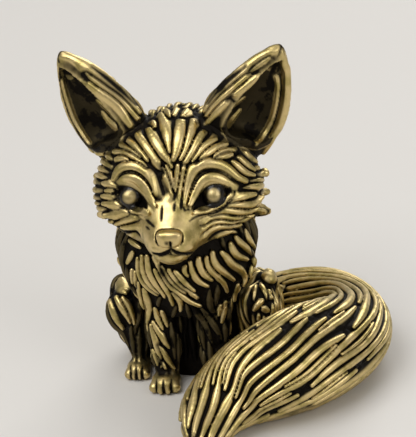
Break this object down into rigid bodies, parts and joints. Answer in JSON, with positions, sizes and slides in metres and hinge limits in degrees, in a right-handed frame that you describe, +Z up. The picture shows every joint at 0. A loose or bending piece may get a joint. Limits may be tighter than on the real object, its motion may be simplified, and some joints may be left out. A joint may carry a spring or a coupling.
{
  "type": "fox figurine",
  "caption": "Small seated fox ornament in antiqued cast brass, with large upright ears, a furry chest ruff and a thick tail curled round to the front; stands on a flat seat.",
  "frame": {"origin": "on the flat seat that the fox stands on, under the neck", "axes": "+Z up, the fox faces -Y, +X is the fox's left side"},
  "size_m": [0.0315, 0.0337, 0.034],
  "materials": {
    "antiqued_brass": "polished on the raised fur, black patina in the grooves"
  },
  "bodies": {
    "root": {"torso": "antiqued_brass", "chest_ruff": "antiqued_brass", "head": "antiqued_brass", "ear_left": "antiqued_brass", "ear_right": "antiqued_brass", "eye_left": "antiqued_brass", "eye_right": "antiqued_brass", "front_leg_left": "antiqued_brass", "front_leg_right": "antiqued_brass", "hind_leg_left": "antiqued_brass", "hind_leg_right": "antiqued_brass", "tail": "antiqued_brass"}
  },
  "joints": []
}
